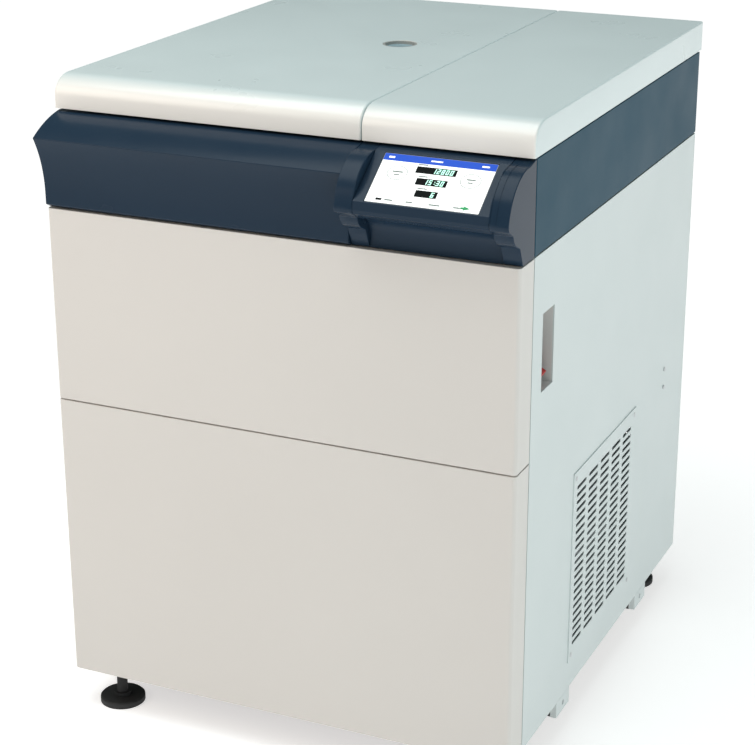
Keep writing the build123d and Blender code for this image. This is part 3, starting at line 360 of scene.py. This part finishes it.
lid_tree = lid_paint_painted_light.node_tree
lid_shader = lid_tree.nodes["Principled BSDF"]
cool_lit_source = lid_shader.inputs["Base Color"].links[0].from_socket
painted_light_mask = lid_tree.nodes.new("ShaderNodeGroup")
painted_light_mask.node_tree = painted_front_light_group
painted_light_blend = lid_tree.nodes.new("ShaderNodeMix")
painted_light_blend.data_type = "RGBA"
cool_lit_color, warm_lit_color, mixed_color = painted_light_blend.inputs[6], painted_light_blend.inputs[7], painted_light_blend.outputs[2]
lid_tree.links.new(painted_light_mask.outputs["Mask"], painted_light_blend.inputs["Factor"])
lid_tree.links.new(cool_lit_source, cool_lit_color)
# Painted warm front light: a lighter, warmer colour where the roll faces forward.
warm_lit_color.default_value = (0.90, 0.855, 0.81, 1)
lid_tree.links.new(mixed_color, lid_shader.inputs["Base Color"])

# %% Finishes by slot
finish_by_slot = {
    "warm_white_paint": warm_lit_front_paint,
    "pale_aqua_paint": cool_lit_side_paint,
    "dark_blue_moulding": moulding,
    "dark_blue_paint": band_paint,
    "bare_steel": steel,
    "stainless_steel": stainless,
    "black_plastic": black_plastic,
    "grey_plastic": grey_plastic,
    "red_plastic": red_plastic,
    "black_rubber": rubber,
    "foam": foam,
    "rotor_alloy": alloy,
    "black_enamel": enamel,
    "copper_tube": copper,
    "fin_aluminium": fins,
    "window_acrylic": window,
    "screen_glass": glass,
}
slot_of_node = {entry["node"]: entry["material_slot"] for entry in frame["record"]["subparts"]}
for name, obj in nodes.items():
    for slot in obj.material_slots:
        slot.material = finish_by_slot[slot_of_node[name]]
print("finishes made:", len(finish_by_slot))

# %% [markdown]
# ## Folded sheet metal and mouldings
# A real panel has no razor edge: the fold has a radius, and it is that radius that catches the
# light. Each visible casing piece is copied from its solid, its loose triangles are merged, flat
# neighbours are joined into clean faces, and a Bevel modifier rounds what is left. The copy
# stands exactly where the solid was.


# %% A casing piece with rounded edges
behaviour = frame["record"]["behaviour"]
body_of_node = {name: body for body, members in behaviour["bodies"].items() for name in members}
merge_distance = 0.00001
flat_angle = radians(0.5)
sharp_angle = radians(30.0)
bevel_segments = 3


def rounded_copy(node, radius, finish=None):
    """Copy a solid, merge its triangles, and round its edges by a radius in millimetres."""
    bm = bmesh.new()
    bm.from_mesh(nodes[node].data)
    bmesh.ops.remove_doubles(bm, verts=bm.verts, dist=merge_distance)
    bmesh.ops.dissolve_limit(bm, angle_limit=flat_angle, verts=bm.verts, edges=bm.edges)
    for face in bm.faces:
        face.smooth = True
        face.material_index = 0
    piece = to_object(node + "_finished", bm)
    piece.data.materials.append(finish or finish_by_slot[slot_of_node[node]])
    piece.data.set_sharp_from_angle(angle=sharp_angle)
    bevel = piece.modifiers.new("rounded_edges", "BEVEL")
    bevel.width = radius * millimetre
    bevel.segments = bevel_segments
    bevel.limit_method = "ANGLE"
    bevel.angle_limit = sharp_angle
    bevel.harden_normals = True
    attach(piece, body_of_node[node])
    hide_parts(node)
    return piece


casing_radii = {
    "lower_front_panel": 0.9,
    "upper_front_panel": 0.9,
    "left_side_panel": 0.9,
    "right_side_panel": 0.9,
    "rear_panel": 0.5,
    "upper_bands": 0.9,
    "front_bar": 1.2,
    "console_cheeks": 1.2,
    "console_centre": 1.0,
    "lid_shell": 0.8,
    "right_top_cover": 0.8,
    "intake_grille": 0.4,
    "switch_recess": 0.6,
    "breaker_body": 0.8,
    "breaker_toggle": 1.0,
    "caster_forks": 0.8,
    "rotor": 1.0,
    "rotor_knob": 1.0,
    "lid_hinge_leaves": 0.4,
    "cabinet_hinge_leaves": 0.4,
    "top_deck": 0.6,
}
finish_of_piece = {
    "lid_shell": lid_paint_painted_light,
    "right_top_cover": lid_paint_painted_light,
    "switch_recess": recess_plastic,
}
finished = {}
for node, radius in casing_radii.items():
    finished[node] = rounded_copy(node, radius, finish_of_piece.get(node))
print("casing pieces rounded:", len(finished))

# %% [markdown]
# The red lever of the breaker can be seen from the front right, so its tip must come almost to
# the mouth of the recess, and the solid's stops short of that. The rounded copy has its far half
# drawn out by 10 mm along its own length, and it still swings inside the recess.

# %% Longer red lever
lever = finished["breaker_toggle"]
for joint in behaviour["joints"]:
    if joint["child"] == "breaker_toggle":
        lever_pivot = Vector(joint["pos_m"])
lever_tilt = radians(30)
lever_way = Vector((cos(lever_tilt), 0, -sin(lever_tilt)))
lever_near_half = 0.012
lever_extra = 0.010
for vertex in lever.data.vertices:
    if (vertex.co - lever_pivot).dot(lever_way) > lever_near_half:
        vertex.co += lever_way * lever_extra
print("the lever's tip is at", max(vertex.co.x for vertex in lever.data.vertices))

# %% [markdown]
# ## Two ribs on the console's right cheek
# Two thin ribs follow the rounded top of the right-hand cheek, from the lid down to the nose.
# They are no more than a line of raised plastic. Each is drawn as the arc that the cheek has in
# side view, stands 0.6 mm proud of it, and gets its width by extruding it along X.


# %% Ribs
def thickened(bm, shift):
    """Extrude all the flat faces by a shift and turn every face outward."""
    walls = bmesh.ops.extrude_face_region(bm, geom=bm.faces[:])
    moved = [item for item in walls["geom"] if isinstance(item, bmesh.types.BMVert)]
    bmesh.ops.translate(bm, verts=moved, vec=shift)
    bmesh.ops.recalc_face_normals(bm, faces=bm.faces)


cheek_low, cheek_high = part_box("console_cheeks")
cheek_mesh = nodes["console_cheeks"].data
rib_lift = 0.0006
rib_width = 0.0014
rib_insets = {"console_rib_inner": 0.0265, "console_rib_outer": 0.0180}
arc_centre_rise = 0.06
arc_start_rise = 0.064
arc_back_margin = 0.02
side_tolerance = 0.0004
outer_x = max(vertex.co.x for vertex in cheek_mesh.vertices)
profile = {}
for vertex in cheek_mesh.vertices:
    co = vertex.co
    on_side = abs(co.x - outer_x) < side_tolerance
    on_arc = co.z > cheek_low.z + arc_start_rise and co.y < cheek_high.y - arc_back_margin
    if on_side and on_arc:
        profile[(round(co.y, 5), round(co.z, 5))] = True
centre_y, centre_z = cheek_high.y, cheek_low.z + arc_centre_rise
arc = sorted(profile, key=lambda point: atan2(point[1] - centre_z, centre_y - point[0]))
for name, inset in rib_insets.items():
    rib_x = outer_x - inset
    bm = bmesh.new()
    outer, inner = [], []
    for y, z in arc:
        away = Vector((0, y - centre_y, z - centre_z)).normalized()
        outer.append(bm.verts.new(Vector((rib_x, y, z)) + away * rib_lift))
        inner.append(bm.verts.new(Vector((rib_x, y, z)) - away * rib_lift))
    for i in range(len(arc) - 1):
        bm.faces.new((inner[i], inner[i + 1], outer[i + 1], outer[i]))
    thickened(bm, (rib_width, 0, 0))
    rib = to_object(name, bm)
    rib.data.materials.append(moulding)
    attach(rib, "cabinet")
print("rib points:", len(arc))

# %% [markdown]
# ## The lit screen
# The screen shows a blue bar over a white page, with three dark readouts one under the other, a
# thin ring at each side, and a row of marks at the bottom. The photograph's words aren't copied:
# the readouts hold plain numbers and the labels are short bars. Everything is thin flat mesh laid
# on the glass, drawn in millimetres from the screen's middle.

# %% The screen's own plane
glass_low, glass_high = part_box("touch_screen")
screen_mesh = nodes["touch_screen"].data
least_upward = 0.3
face_tolerance = 0.0005


def front_area(polygon):
    """The polygon's area where it faces forward and up, and nothing elsewhere."""
    return polygon.area * (polygon.normal.z > least_upward) * (polygon.normal.y < 0)


outward = max(screen_mesh.polygons, key=front_area).normal.copy()
up_slope = outward.cross(Vector((1, 0, 0))).normalized()
if up_slope.z < 0:
    up_slope.negate()
face_points = [vertex.co for vertex in screen_mesh.vertices]
face_height = max(point.dot(outward) for point in face_points)
lowest_on_face = face_height - face_tolerance
face_up = [point.dot(up_slope) for point in face_points if point.dot(outward) > lowest_on_face]
screen_half_height = (max(face_up) - min(face_up)) / 2
screen_half_width = (glass_high.x - glass_low.x) / 2
screen_centre = (
    Vector(((glass_low.x + glass_high.x) / 2, 0, 0))
    + outward * face_height
    + up_slope * (max(face_up) + min(face_up)) / 2
)
print("screen", 2 * screen_half_width, "by", 2 * screen_half_height, "facing", outward)


def screen_point(u, v, lift):
    """A point over the screen, u across and v up the slope in millimetres from the middle."""
    return screen_centre + (Vector((1, 0, 0)) * u + up_slope * v + outward * lift) * millimetre


# %% Flat shapes on the screen
def lit_finish(name, color, strength):
    """A finish that glows by itself, as a lit screen does."""
    material = finish_of(name, color, 0.6, 0.01, Specular_IOR_Level=0.03)
    shader = material.node_tree.nodes["Principled BSDF"]
    shader.inputs["Emission Color"].default_value = (*color, 1)
    shader.inputs["Emission Strength"].default_value = strength
    return material


screen_white = lit_finish("screen_white", (0.90, 0.91, 0.90), 0.62)
screen_blue = lit_finish("screen_blue", (0.030, 0.090, 0.50), 0.4)
screen_black = lit_finish("screen_black", (0.010, 0.012, 0.012), 0.0)
screen_mint = lit_finish("screen_mint", (0.55, 0.93, 0.78), 0.7)
screen_grey = lit_finish("screen_grey", (0.26, 0.30, 0.28), 0.1)
screen_green = lit_finish("screen_green", (0.06, 0.34, 0.14), 0.3)
film_thickness = 0.05
page_lift, box_lift, mark_lift, digit_lift = 0.05, 0.15, 0.2, 0.25


def rectangle(u, v, width, height):
    """The four corners of a rectangle by its middle and its size."""
    low_u, high_u, low_v, high_v = u - width / 2, u + width / 2, v - height / 2, v + height / 2
    return [(low_u, low_v), (high_u, low_v), (high_u, high_v), (low_u, high_v)]


def screen_piece(name, finish, lift, shapes):
    """All the flat shapes of one colour, as one thin piece."""
    bm = bmesh.new()
    for corners in shapes:
        bm.faces.new([bm.verts.new(screen_point(u, v, lift)) for u, v in corners])
    thickened(bm, outward * film_thickness * millimetre)
    piece = to_object(name, bm)
    piece.data.materials.append(finish)
    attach(piece, "cabinet")


# %% The digits, built from seven strokes each
strokes_of = {
    "0": "abcdef", "1": "bc", "2": "abged", "3": "abgcd", "4": "fgbc",
    "5": "afgcd", "6": "afgedc", "7": "abc", "8": "abcdefg", "9": "abcdfg",
}
digit_slant = 0.12
digit_height = 8.0
width_share, stroke_share, step_share = 0.52, 0.17, 0.74
colon_rise, colon_step = 0.2, 0.7


def digit_shapes(text, u, v, height):
    """The strokes of a number, with its left end at u and its middle at v."""
    width, stroke, step = height * width_share, height * stroke_share, height * step_share
    half = height / 2
    shapes = []
    for character in text:
        if character == ":":
            for dot_v in (v + height * colon_rise, v - height * colon_rise):
                shapes.append(rectangle(u + width / 2, dot_v, stroke, stroke))
            u += step * colon_step
            continue
        boxes = {
            "a": (0, half - stroke / 2, width, stroke),
            "g": (0, 0, width, stroke),
            "d": (0, -half + stroke / 2, width, stroke),
            "f": (-width / 2 + stroke / 2, half / 2, stroke, half),
            "b": (width / 2 - stroke / 2, half / 2, stroke, half),
            "e": (-width / 2 + stroke / 2, -half / 2, stroke, half),
            "c": (width / 2 - stroke / 2, -half / 2, stroke, half),
        }
        for stroke_name in strokes_of[character]:
            du, dv, a, b = boxes[stroke_name]
            middle = u + width / 2
            corners = rectangle(middle + du, v + dv, a, b)
            shapes.append([(cu + (cv - v) * digit_slant, cv) for cu, cv in corners])
        u += step
    return shapes


# %% The page on the screen
page_margin = 1.5
page_width = 2 * screen_half_width / millimetre - page_margin
page_height = 2 * screen_half_height / millimetre - page_margin
bar_height = 11.5
bar_v = page_height / 2 - bar_height / 2
readout_height = 11.0
number_margin = 2.5
readouts = [(0.5, 19.0, 55.0, "12800"), (0.0, 0.0, 42.0, "15:30"), (-0.5, -19.5, 30.0, "6")]
page = rectangle(0, -bar_height / 2, page_width, page_height - bar_height)
status_bar = rectangle(0, bar_v, page_width, bar_height)
boxes = [rectangle(u, v, w, readout_height) for u, v, w, text in readouts]
screen_piece("screen_page", screen_white, page_lift, [page])
screen_piece("screen_status_bar", screen_blue, page_lift, [status_bar])
screen_piece("screen_readouts", screen_black, box_lift, boxes)
numbers = []
for u, v, w, text in readouts:
    steps = [colon_step if character == ":" else 1 for character in text]
    length = sum(step_share * digit_height * step for step in steps)
    numbers += digit_shapes(text, u + w / 2 - length - number_margin, v, digit_height)
screen_piece("screen_numbers", screen_mint, digit_lift, numbers)

# %% Rings, labels and the arrow
ring_points = 40


def ring_shapes(u, v, radius_u, radius_v, width):
    """A thin ring as a row of small four-sided faces."""

    def at(index, grow):
        angle = 2 * pi * index / ring_points
        return (u + (radius_u + grow) * cos(angle), v + (radius_v + grow) * sin(angle))

    return [[at(i, 0), at(i, width), at(i + 1, width), at(i + 1, 0)] for i in range(ring_points)]


rings = ring_shapes(-50, 10, 13, 11, 0.8) + ring_shapes(50, 9.5, 13, 11, 0.8)
screen_piece("screen_rings", screen_grey, box_lift, rings)
labels = [rectangle(u, -35, w, 2.2) for u, w in ((-46, 11), (-18, 9), (16, 15), (46, 9))]
labels += [rectangle(u - 6, v, 13, 1.8) for u, v in ((-14, 27.5), (-8, 8.5), (-2.5, -11.0))]
labels += [rectangle(-50, 12, 14, 2.2), rectangle(-50, 7, 8, 1.8)]
labels += [rectangle(50, 11.5, 12, 2.2), rectangle(50, 6.5, 7, 1.8)]
screen_piece("screen_labels", screen_grey, box_lift, labels)
mark_sizes = ((-66, 8, 3.0), (-4, 16, 2.2), (62, 10, 2.6))
status_marks = [rectangle(u, bar_v, w, h) for u, w, h in mark_sizes]
screen_piece("screen_status_marks", screen_white, box_lift, status_marks)
arrow = [[(55, -38), (64, -34.5), (55, -31)], rectangle(53, -34.5, 4, 3.0)]
screen_piece("screen_arrow", screen_green, mark_lift, arrow)
screen_piece("screen_mark", screen_black, mark_lift, [rectangle(-59.5, -35, 8, 3.5)])
print("the screen's page is", page_width, "by", page_height, "millimetres")
